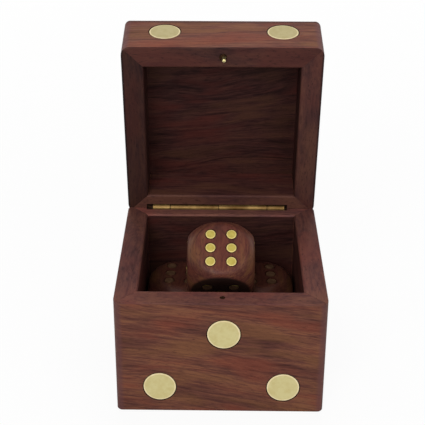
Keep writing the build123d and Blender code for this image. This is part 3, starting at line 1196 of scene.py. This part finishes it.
@dataclass
class BoxShell:
    """The mitred base and lid, with their bottom, top and inlays."""

    inlays: InlayTree
    pip_edge: float = 0.1 * MM
    pip_ring: float = 0.5 * MM
    pip_play: float = 0.1 * MM
    pip_sides: int = 96
    pocket_gap: float = 0.24 * MM
    pocket_ease: float = 0.07 * MM
    foot_round: float = 0.5 * MM
    rim_round: float = 0.5 * MM
    lip_round: float = 0.8 * MM
    crown_round: float = 2.2 * MM
    rim_corner: float = 3.4 * MM
    end_corner: float = 1.9 * MM
    corner_reach: float = 2.55 * MM
    rebate: float = 3.0 * MM
    panel_ease: float = 0.15 * MM
    # width and depth of the painted shade lines along the lid's side edges and crown
    painted_side_shade_width: float = 0.8 * MM
    painted_crown_shade_depth: float = 3.3 * MM
    plank_step: float = 10 * MM
    lid_plank: float = 50 * MM
    plank_height: float = 20 * MM
    panel_plank: Triple = (0.02, 0.03, 0.08)
    panel_grain: Triple = (90.0, 0.0, -6.0)
    overcut: float = 1.0 * MM
    bevel_reach: float = 5.0 * MM
    groove_play: float = 0.5 * MM
    groove_left: float = 2.4 * MM
    groove_right: float = 1.0 * MM
    kerf_play: float = 0.1 * MM
    kerf_mouth: float = 2.0 * MM
    peg_play: float = 0.25 * MM
    recess_radius: float = 1.5 * MM
    recess_depth: float = 0.35 * MM
    recess_off: float = 0.35 * MM
    recess_sides: int = 48

    def __post_init__(self) -> None:
        """Read the box's main sizes from the frame."""
        low, high = node_box("base_left_wall")
        self.half_width = -low.x
        self.wall = high.x - low.x
        self.base_height = high.z
        self.half_depth = -node_box("base_front_wall")[0].y
        self.bottom = node_box("base_bottom_board")[1].z
        top_low, top_high = node_box("lid_top_board", TO_SHUT)
        self.shut_height = top_high.z
        self.top = top_high.z - top_low.z
        self.lid_foot = node_box("lid_left_wall", TO_SHUT)[0].z
        pip_low, pip_high = node_box("base_under_pip")
        self.pip_thickness = pip_high.z - pip_low.z
        self.pip_radius = (pip_high.x - pip_low.x) / 2

    def make(self) -> None:
        """Make the base, and the lid swung open."""
        # panel_light darkens the panel's inside: partly its own tone, partly painted shade of the recess
        self.half(Half(
            body="base", turn=AS_IT_STANDS, upward=1, end=0.0, height=self.base_height,
            end_round=self.foot_round, panel="base_bottom", panel_pips="base_under_pip",
            panel_height=self.bottom, panel_light=0.42, looks=BASE_LOOKS,
        ))
        self.half(Half(
            body="lid", turn=TO_OPEN, upward=-1, end=self.shut_height,
            height=self.shut_height - self.lid_foot, end_round=self.crown_round, panel="lid_top",
            panel_pips="lid_top_pips", panel_height=self.top, panel_light=0.40, looks=LID_LOOKS,
        ))

    def half(self, half: Half) -> None:
        """Make one half's boards, its panel and their inlays.

        Args:
            half: The base or the lid.
        """
        section = Section(
            wall=self.wall, height=half.height, end_round=half.end_round, rim_round=self.rim_round,
            lip_round=self.lip_round, rebate_width=self.rebate, rebate_height=half.panel_height,
        )
        ring = BoardFrame(
            half_width=self.half_width, half_depth=self.half_depth, end=half.end, upward=half.upward,
            section=section, rim_corner=self.rim_corner, end_corner=self.end_corner,
        )
        for side, look in half.looks.items():
            name = f"{half.body}_{side.name.lower()}"
            board = ring.board(side, f"{name}_board", self.board_finish(name, side, half))
            carved(board, self.pockets(look.pips, side.facing(), half) + self.fittings(side, half))
            seat(board, self.pocket_ease, half.body, f"{name}_wall", half.turn)
            self.pips(look.pips, side.facing(), half, look.metal)
        self.panel(half, UP * -half.upward)
        self.pips(half.panel_pips, UP * -half.upward, half, PIP_BRASS)

    def board_finish(self, name: str, side: Side, half: Half) -> list[Material]:
        """Give a board's finishes, with the grain along it.

        Args:
            name: Name of the board.
            side: The side that it closes.
            half: The base or the lid.

        Returns:
            The finishes, in the order of Cover.
        """
        look = half.looks[side]
        turn = side.turn(3) @ Matrix.Rotation(radians(look.slope), 3, "Y")
        shift = (self.lid_plank if half.on_lid else 0.0) + self.plank_step * side.value
        centre = (shift, shift, self.plank_height)
        common = {"centre": centre, "turn": tuple(turn.to_euler()), "on_lid": half.on_lid}
        corners = (self.half_width, self.half_depth, self.corner_reach)
        # painted shade lines on the lid front's crown and on the lid's side edges
        painted_crown_shade = self.shut_height - self.painted_crown_shade_depth if half.on_lid and side is Side.FRONT else None
        painted_side_shade = self.half_width - self.painted_side_shade_width if half.on_lid else None
        finishes = [
            Sheesham(
                f"{name}_polished", tone=SHEESHAM_TONE.shaded(look.outside), contrast=1.08,
                corners=corners, painted_crown_shade=painted_crown_shade, **common,
            ),
            Sheesham(
                f"{name}_inner", tone=INNER_TONE.shaded(look.inside), roughness=0.55, specular=0.08, **common
            ),
            Sheesham(
                f"{name}_rim", tone=RIM_TONE.shaded(look.rim), contrast=0.8, lines=0.2, specular=0.08,
                painted_side_shade=painted_side_shade, **common,
            ),
        ]
        return [finish.material() for finish in finishes] + [RECESS_SHADE]

    def pockets(self, node: str, facing: Vector, half: Half) -> list[Piece]:
        """Make the round cutters of one face's inlay pockets.

        Args:
            node: The CAD node whose solids lie in the pockets.
            facing: The way that the face looks, in the shut box.
            half: The base or the lid.

        Returns:
            A closed cutter for each pocket.
        """
        cutters = []
        radius = self.pip_radius + self.pocket_gap
        depth = facing * self.pip_thickness
        for index, centre in enumerate(solid_centres(node)):
            start = half.turn.inverted() @ centre - depth / 2
            cutters.append(rod(f"{node}_pocket_{index}", start, start + depth * 2, radius, self.pip_sides))
        return cutters

    def fittings(self, side: Side, half: Half) -> list[Piece]:
        """Make the cutters of what the hinge or the closing peg needs in a board.

        Args:
            side: The side that the board closes.
            half: The base or the lid.

        Returns:
            The closed cutters, if the board has any.
        """
        if side is Side.BACK:
            return self.hinge_cutters(half)
        if side is Side.FRONT:
            return [self.peg_recess() if half.on_lid else self.peg_hole()]
        return []

    def hinge_cutters(self, half: Half) -> list[Piece]:
        """Make the cutters of the back board's bevel, round groove and saw kerf.

        Args:
            half: The base or the lid.

        Returns:
            The three closed cutters.
        """
        low, high = node_box("hinge_base_leaf")
        way = -half.upward
        rim = half.end + half.upward * half.height
        y, z = HINGE_AT.y, HINGE_AT.z
        reach = self.bevel_reach
        bevel = [
            (y, rim), (y + reach, rim + way * reach * tan(OPEN_ANGLE / 2)), (y + reach, rim - way * reach),
            (y, rim - way * reach),
        ]
        middle = low.y + LEAF_SHEET / 2
        half_kerf = LEAF_SHEET / 2 + self.kerf_play
        mouth, deep = z - way * self.kerf_mouth, z + way * (z - low.z + self.kerf_play)
        kerf = [
            (middle - half_kerf, mouth), (middle + half_kerf, mouth),
            (middle + half_kerf, deep), (middle - half_kerf, deep),
        ]
        start, end = low.x - self.groove_left, high.x + self.groove_right
        out = self.half_width + self.overcut
        groove = high.z - z + self.groove_play
        return [
            prism("back_bevel", bevel, -out, out, Cover.RIM),
            rod("barrel_groove", Vector((start, y, z)), Vector((end, y, z)), groove),
            prism("leaf_kerf", kerf, start, end),
        ]

    def peg_hole(self) -> Piece:
        """Make the cutter of the hole that the closing peg enters.

        Returns:
            The closed cutter.
        """
        low, high = node_box("lid_peg", TO_SHUT)
        middle = (low + high) / 2
        start = Vector((middle.x, middle.y, low.z - self.peg_play))
        end = Vector((middle.x, middle.y, self.base_height + self.overcut))
        return rod("peg_hole", start, end, (high.x - low.x) / 2 + self.peg_play)

    def peg_recess(self) -> Piece:
        """Make the cutter of the shallow recess round the closing peg, whose cut faces take the painted
        recess shade.

        Returns:
            The closed cutter.
        """
        low, high = node_box("lid_peg", TO_SHUT)
        middle = (low + high) / 2 - Vector((self.recess_off, self.recess_off, 0))
        start = Vector((middle.x, middle.y, self.lid_foot - self.overcut))
        end = Vector((middle.x, middle.y, self.lid_foot + self.recess_depth))
        return rod("peg_recess", start, end, self.recess_radius, self.recess_sides)

    def panel(self, half: Half, facing: Vector) -> None:
        """Make the bottom or the top board in place of its CAD node.

        Args:
            half: The base or the lid.
            facing: The way that the board's outside looks in the shut box.
        """
        name, node = f"{half.panel}_panel", f"{half.panel}_board"
        low, high = node_box(node, half.turn.inverted())
        shape = bmesh.new()
        bmesh.ops.create_cube(shape, size=1.0)
        shape.transform(Matrix.Translation((low + high) / 2) @ Matrix.Diagonal((*(high - low), 1)))
        for face in shape.faces:
            is_inside = face.normal.dot(facing) < -0.5
            face.material_index = Cover.INSIDE if is_inside else Cover.OUTSIDE
        common = {
            "centre": self.panel_plank, "turn": tuple(radians(part) for part in self.panel_grain),
            "on_lid": half.on_lid, "waviness": 6 * MM,
        }
        outside = Sheesham(f"{name}_polished", **common).material()
        inside = Sheesham(
            f"{name}_inner", tone=INNER_TONE.shaded(half.panel_light), roughness=0.55, specular=0.08,
            streak=1.3 * MM, lines=0.95, patches=0.6, swirl=2.2, contrast=1.1, **common,
        ).material()
        made = piece_of(name, shape, [outside, inside, outside, RECESS_SHADE])
        carved(made, self.pockets(half.panel_pips, facing, half))
        seat(made, self.panel_ease, half.body, node, half.turn)

    def pips(self, node: str, facing: Vector, half: Half, metal: Material) -> None:
        """Make a face's brass inlays in place of a CAD node.

        Args:
            node: The CAD node.
            facing: The way that the face looks in the shut box.
            half: The base or the lid.
            metal: The brass of the discs.
        """
        look = half.turn.to_3x3() @ facing
        points = [centre + look * self.pip_thickness / 2 for centre in solid_centres(node)]
        inlay = Inlay(
            self.pip_radius - self.pip_play, self.pip_thickness, self.pip_edge, self.pip_ring, self.pip_sides
        )
        facings = [look] * len(points)
        made = self.inlays.discs(f"{node}_brass", points, facings, inlay, (metal, HIGHLIGHT_RING_BRASS))
        seat(made, 0.0, half.body, node)


# ------------------------------------------------------------------ hinge and peg
@dataclass
class Hinge:
    """The brass hinge: two leaves with rolled knuckles, the wire they turn on, and the closing peg."""

    knuckles: KnuckleTree
    sheet: float = LEAF_SHEET
    knuckle: float = 19.8 * MM
    gap: float = 0.3 * MM
    roll: float = 338.0
    plate_play: float = 0.25 * MM
    edge: float = 0.09 * MM
    dome: float = 0.35
    dome_flat: float = 0.7
    dome_drop: float = 0.3
    peg_round: float = 0.45 * MM
    peg_steps: int = 6

    def __post_init__(self) -> None:
        """Read the hinge's sizes from the frame."""
        low, high = node_box("hinge_base_leaf")
        self.start, self.end = low.x, high.x
        self.middle = (low.x + high.x) / 2
        self.barrel = high.z - HINGE_AT.z
        self.leaf_reach = HINGE_AT.z - low.z
        pin_low, pin_high = node_box("hinge_pin")
        self.pin_radius = (pin_high.z - pin_low.z) / 2

    def make(self) -> None:
        """Make both leaves, the wire and the closing peg."""
        ends = [self.start, self.middle - self.knuckle, self.middle, self.middle + self.knuckle, self.end]
        spans = [(start + self.gap / 2, end - self.gap / 2) for start, end in zip(ends, ends[1:])]
        self.leaf("base", -1, spans[1::2], AS_IT_STANDS)
        self.leaf("lid", 1, spans[0::2], TO_OPEN)
        self.wire()
        self.peg()

    def leaf(self, body: str, upward: int, spans: Sequence[tuple[float, float]], turn: Matrix) -> None:
        """Make one leaf with its knuckles.

        Args:
            body: The body that it rides on.
            upward: 1 where the leaf stands up from the axis in the shut box, and -1 where it hangs.
            spans: Start and end of each knuckle.
            turn: The matrix that brings the leaf to its place at rest.
        """
        name = f"{body}_hinge_leaf"
        middle_radius = self.barrel - self.sheet / 2
        points = [Vector((start, HINGE_AT.y, HINGE_AT.z)) for start, _ in spans]
        widths = [end - start for start, end in spans]
        sweep = upward * radians(self.roll)
        inputs = {"Radius": middle_radius, "Start": pi, "Sweep": sweep, "Metal": HINGE_BRASS}
        rolled = self.knuckles.grown(f"{name}_knuckles", points, "span", widths, inputs)
        thick = rolled.modifiers.new("thickness", "SOLIDIFY")
        thick.thickness = self.sheet
        thick.offset = 0.0
        settled(rolled)
        shape = bmesh.new()
        shape.from_mesh(rolled.data)
        bpy.data.objects.remove(rolled)
        bmesh.ops.recalc_face_normals(shape, faces=shape.faces)
        leaf_y = HINGE_AT.y - middle_radius
        clear = upward * (self.barrel + self.plate_play)
        self.plate(shape, (self.start, self.end), leaf_y, clear, upward * self.leaf_reach)
        for span in spans:
            self.plate(shape, span, leaf_y, 0.0, clear)
        seat(piece_of(name, shape, [HINGE_BRASS]), self.edge, body, f"hinge_{body}_leaf", turn)

    def plate(
        self, shape: Shape, along: tuple[float, float], leaf_y: float, start: float, end: float
    ) -> None:
        """Add a flat stretch of the leaf's sheet to a shape.

        Args:
            shape: The shape.
            along: Where the stretch starts and ends along the hinge.
            leaf_y: Middle of the sheet, front to back.
            start: Where it starts, up from the axis.
            end: Where it ends, up from the axis.
        """
        size = Vector((along[1] - along[0], self.sheet, abs(end - start)))
        middle = Vector((sum(along) / 2, leaf_y, HINGE_AT.z + (start + end) / 2))
        place = Matrix.Translation(middle) @ Matrix.Diagonal((*size, 1))
        bmesh.ops.create_cube(shape, size=1.0, matrix=place)

    def wire(self) -> None:
        """Make the wire that the knuckles turn on, with its domed ends."""
        radius, length = self.pin_radius, self.end - self.start
        dome = radius * self.dome
        near = [(0.0, 0.0), (radius * self.dome_flat, dome * self.dome_drop), (radius, dome)]
        far = [(out, length - height) for out, height in near[::-1]]
        made = turned("hinge_wire", near + far, Vector((self.start, *HINGE_AT.yz)), RIGHT, HINGE_BRASS)
        seat(made, 0.0, "base", "hinge_pin")

    def peg(self) -> None:
        """Make the brass peg with its rounded tip."""
        low, high = node_box("lid_peg", TO_SHUT)
        radius, length, ease = (high.x - low.x) / 2, high.z - low.z, self.peg_round
        angles = [pi / 2 * step / self.peg_steps for step in range(self.peg_steps + 1)]
        tip = [(radius - ease + ease * sin(angle), ease - ease * cos(angle)) for angle in angles]
        outline = [(0.0, 0.0), *tip, (radius, length), (0.0, length)]
        start = Vector(((low.x + high.x) / 2, (low.y + high.y) / 2, low.z))
        made = turned("closing_peg", outline, start, UP, PIP_BRASS)
        seat(made, 0.0, "lid", "lid_peg", TO_OPEN)


# ------------------------------------------------------------------ dice
@dataclass(frozen=True)
class DiePlace:
    """How one die lies: its turn in the box after it was laid on a face, and whether it lies deep."""

    name: str
    turn: Triple
    lay: Triple = (0.0, 0.0, 0.0)
    deep: bool = True

    def rotation(self) -> Matrix:
        """Give the die's turn in the box."""
        first, second = [Euler([radians(part) for part in angles]) for angles in (self.turn, self.lay)]
        return first.to_matrix() @ second.to_matrix()

    def centre(self) -> Vector:
        """Give the middle of the die from the frame."""
        low, high = node_box(self.name)
        return (low + high) / 2


@dataclass
class Dice:
    """Five wooden dice, ball-rounded, with brass inlays."""

    inlays: InlayTree
    edge: float = 25.5 * MM
    ball: float = 16.1 * MM
    softness: float = 1.3 * MM
    grid: int = 44
    pip: Inlay = Inlay(1.84 * MM, 1.2 * MM, 0.08 * MM, 0.38 * MM, 40)
    pocket_gap: float = 0.34 * MM
    cut: int = 1
    # painted shade: the share of light left in the wood of the dice that lie deep
    deep_painted_shade: float = 0.6
    # the way and reach of the top die's painted shade face
    painted_shade_facing: Triple = (0.0, -1.0, 0.0)
    painted_shade_reach: float = 1.2 * MM
    places: tuple[DiePlace, ...] = (
        DiePlace("die_front_left", (0.0, 0.0, 2.0), lay=(90.0, 0.0, 0.0)),
        DiePlace("die_front_right", (0.0, 0.0, -1.0), lay=(0.0, 90.0, 0.0)),
        DiePlace("die_back_left", (0.0, 0.0, -3.0)),
        DiePlace("die_back_right", (0.0, 0.0, 2.0)),
        DiePlace("die_top", (33.0, 0.0, 0.0), deep=False),
    )

    def body(self) -> Shape:
        """Make a die's wood: a cube whose edges and corners were ground to a ball.

        Returns:
            The wood, round the origin.
        """
        steps = [sin(pi / 4 * (2 * step / self.grid - 1)) * sqrt(2) for step in range(self.grid + 1)]
        shape = bmesh.new()
        for axis in range(3):
            for side in (-1, 1):
                rows = []
                for first in steps:
                    spots = [self.ground(axis, side, first, second) for second in steps]
                    rows.append([shape.verts.new(spot) for spot in spots])
                for near, far in zip(rows, rows[1:]):
                    for index in range(self.grid):
                        shape.faces.new((near[index], far[index], far[index + 1], near[index + 1]))
        bmesh.ops.remove_doubles(shape, verts=shape.verts, dist=WELD)
        bmesh.ops.recalc_face_normals(shape, faces=shape.faces)
        return shape

    def ground(self, axis: int, side: int, first: float, second: float) -> Vector:
        """Give a point of the cube, brought in to the ball with a soft change between them.

        Args:
            axis: The axis that the point's face stands across, 0 to 2.
            side: Which of the two faces, -1 or 1.
            first: Place on the face along the next axis, -1 to 1.
            second: Place on it along the one after.

        Returns:
            The point.
        """
        point = Vector((0, 0, 0))
        point[axis] = side
        point[(axis + 1) % 3] = first
        point[(axis + 2) % 3] = second
        point *= self.edge / 2
        near = max(self.softness - abs(point.length - self.ball), 0.0)
        reach = min(point.length, self.ball) - near * near / (4 * self.softness)
        return point.normalized() * reach

    def spots(self, place: DiePlace) -> list[tuple[Vector, Vector]]:
        """List a die's inlays.

        Args:
            place: The die whose CAD node they are read from.

        Returns:
            Each inlay's place on the die and the way that it looks, both from the die's middle.
        """
        spots = []
        for middle in solid_centres(f"{place.name}_pips"):
            point = place.rotation().inverted() @ (middle - place.centre())
            axis = max(range(3), key=lambda index: abs(point[index]))
            facing = Vector((0, 0, 0))
            facing[axis] = 1.0 if point[axis] > 0 else -1.0
            point[axis] = facing[axis] * self.edge / 2
            spots.append((point, facing))
        return spots

    def make(self) -> None:
        """Make the five dice from one carved pattern."""
        spots = self.spots(self.places[-1])
        pattern = piece_of("die_wood_pattern", self.body(), [RECESS_SHADE, RECESS_SHADE])
        pockets = bmesh.new()
        for point, facing in spots:
            start, end = point - facing * self.pip.thickness, point + facing * MM
            radius = self.pip.radius + self.pocket_gap
            cutter = rod("pip_pocket", start, end, radius, self.pip.sides, self.cut)
            pockets.from_mesh(cutter.data)
            bpy.data.objects.remove(cutter)
        carved(pattern, [piece_of("pip_pockets", pockets)])
        for place in self.places:
            self.die(place, pattern, spots)
        bpy.data.objects.remove(pattern)

    def die(self, place: DiePlace, pattern: Piece, spots: Sequence[tuple[Vector, Vector]]) -> None:
        """Make one die with its inlays, in place of its CAD nodes.

        Args:
            place: How it lies.
            pattern: The carved wood, at the origin.
            spots: Each inlay's place on it and the way that it looks.
        """
        rotation, centre = place.rotation(), place.centre()
        matrix = Matrix.Translation(centre) @ rotation.to_4x4()
        mesh = pattern.data.copy()
        mesh.materials.clear()
        mesh.transform(matrix)
        mesh.materials.append(self.finish(place))
        mesh.materials.append(RECESS_SHADE)
        wood = bpy.data.objects.new(f"{place.name}_wood", mesh)
        bpy.context.scene.collection.objects.link(wood)
        seat(wood, 0.0, place.name, place.name)
        # painted shade: the deep dice's pips get the darker brass
        metals = (PAINTED_SHADE_DICE_BRASS, PAINTED_SHADE_DICE_BRASS) if place.deep else (DICE_BRASS, DICE_HIGHLIGHT_RING_BRASS)
        points = [matrix @ point for point, _ in spots]
        facings = [rotation @ facing for _, facing in spots]
        pips = self.inlays.discs(f"{place.name}_brass", points, facings, self.pip, metals)
        # painted shade: the pips on the top die's painted shade face get the darker brass
        if not place.deep:
            self.dull(pips, rotation @ Vector(self.painted_shade_facing))
        seat(pips, 0.0, place.name, f"{place.name}_pips")

    def finish(self, place: DiePlace) -> Material:
        """Give a die's finish: darker all over with painted shade where it lies deep, and with painted shade
        on one face where it doesn't.

        Args:
            place: How the die lies.

        Returns:
            The material.
        """
        rotation = place.rotation()
        upright = Matrix.Rotation(pi / 2, 3, "Z")
        common = {
            "centre": tuple(place.centre()), "turn": tuple((rotation @ upright).to_euler()),
            "streak": 1.0 * MM, "zone": 5.0 * MM, "waviness": 1.2 * MM, "contrast": 0.9, "patches": 0.35,
            "roughness": 0.42, "specular": 0.14,
        }
        name = f"{place.name}_finish"
        # painted shade: the deep dice's whole tone is darkened
        if place.deep:
            return Sheesham(name, tone=DICE_TONE.shaded(self.deep_painted_shade), lines=0.5, **common).material()
        # painted shade on the top die's face that looks down into the box
        shade_face = tuple(rotation @ Vector(self.painted_shade_facing)), self.edge / 2 - self.painted_shade_reach
        return Sheesham(
            name, tone=DICE_TONE, lines=0.7, ladder=0.4, painted_shade_face=shade_face, **common
        ).material()

    def dull(self, pips: Piece, facing: Vector) -> None:
        """Give the painted shade brass to the inlays that look one way, those on the die's painted shade
        face.

        Args:
            pips: The die's inlays.
            facing: The way.
        """
        pips.data.materials.append(PAINTED_SHADE_DICE_BRASS)
        slot = len(pips.data.materials) - 1
        for polygon in pips.data.polygons:
            if polygon.normal.dot(facing) > 0.5:
                polygon.material_index = slot


# ------------------------------------------------------------------ studio
@dataclass(frozen=True)
class Lamp:
    """A square lamp that looks at the box."""

    name: str
    place: Triple
    size: float
    power: float
    glossy: bool = True
    aim: Triple = (0.0, 0.0, 0.05)

    def hang(self) -> None:
        """Put the lamp in the scene."""
        light = bpy.data.lights.new(self.name, "AREA")
        light.size = self.size
        light.energy = self.power
        made = bpy.data.objects.new(self.name, light)
        made.location = self.place
        made.rotation_euler = (Vector(self.aim) - made.location).to_track_quat("-Z", "Y").to_euler()
        made.visible_glossy = self.glossy
        bpy.context.scene.collection.objects.link(made)


@dataclass
class Studio:
    """A pale floor, soft lamps and the camera."""

    floor_size: float = 3.0
    floor_drop: float = 0.05 * MM
    focal_length: float = 89.96
    camera_at: Triple = (-0.00106, -0.35142, 0.24801)
    pitch: float = 27.72
    yaw: float = 0.97
    shift: tuple[float, float] = (0.0236, 0.0)
    sensor: float = 36.0
    nearest: float = 0.01
    ambient: float = 0.24
    paper: Colour = (0.86, 0.86, 0.86, 1.0)
    white: Colour = (1.0, 1.0, 1.0, 1.0)
    shadow_reach: tuple[float, float] = (0.15, 0.6)
    glow_at_box: float = 0.93
    lamps: tuple[Lamp, ...] = (
        Lamp("key_lamp", (-0.22, -0.74, 0.6), 0.5, 4.6),
        Lamp("fill_lamp", (0.5, -0.68, 0.45), 0.6, 1.8),
        Lamp("back_lamp", (0.0, 0.42, 0.85), 0.4, 3.8, glossy=False),
    )

    def make(self) -> None:
        """Lay the floor, hang the lamps and set up the camera."""
        self.floor()
        self.world()
        for lamp in self.lamps:
            lamp.hang()
        self.camera()
        bpy.context.scene.view_settings.view_transform = "Standard"

    def floor(self) -> None:
        """Lay the white floor, which keeps a faint shadow near the box."""
        shape = bmesh.new()
        bmesh.ops.create_grid(shape, x_segments=1, y_segments=1, size=self.floor_size / 2)
        shape.transform(Matrix.Translation((0, 0, -self.floor_drop)))
        made, sheet = empty_material("studio_floor")
        paper = sheet.add("ShaderNodeBsdfDiffuse", Color=self.paper).outputs[0]
        white = sheet.add("ShaderNodeEmission", Color=self.white, Strength=1.0).outputs[0]
        away = sheet.vector("LENGTH", sheet.place())
        glow = sheet.between(away, *self.shadow_reach, self.glow_at_box, 1.0)
        seen = sheet.maths("MULTIPLY", sheet.looked_at(), glow)
        shown = sheet.add("ShaderNodeMixShader", _0=seen, _1=paper, _2=white).outputs[0]
        sheet.add("ShaderNodeOutputMaterial", Surface=shown)
        piece_of("floor", shape, [made])

    def world(self) -> None:
        """Set the white surroundings, plain for what they light and white where they are seen."""
        world = bpy.data.worlds.new("studio")
        world.use_nodes = True
        bpy.context.scene.world = world
        world.node_tree.nodes.clear()
        sheet = NodeSheet(world.node_tree)
        strength = sheet.between(sheet.looked_at(), 0.0, 1.0, self.ambient, 1.0)
        light = sheet.add("ShaderNodeBackground", Color=self.white, Strength=strength)
        sheet.add("ShaderNodeOutputWorld", Surface=light.outputs[0])

    def camera(self) -> None:
        """Set up the camera."""
        held = bpy.data.cameras.new("camera")
        held.lens = self.focal_length
        held.sensor_width = self.sensor
        held.shift_x, held.shift_y = self.shift
        held.clip_start = self.nearest
        made = bpy.data.objects.new("camera", held)
        made.location = self.camera_at
        made.rotation_euler = (radians(90 - self.pitch), 0.0, radians(self.yaw))
        bpy.context.scene.collection.objects.link(made)
        bpy.context.scene.camera = made


def main() -> None:
    """Build the dice box and its studio."""
    logging.basicConfig(level=logging.INFO)
    inlays = InlayTree()
    BoxShell(inlays).make()
    Hinge(KnuckleTree()).make()
    Dice(inlays).make()
    Studio().make()


if __name__ == "__main__":
    main()
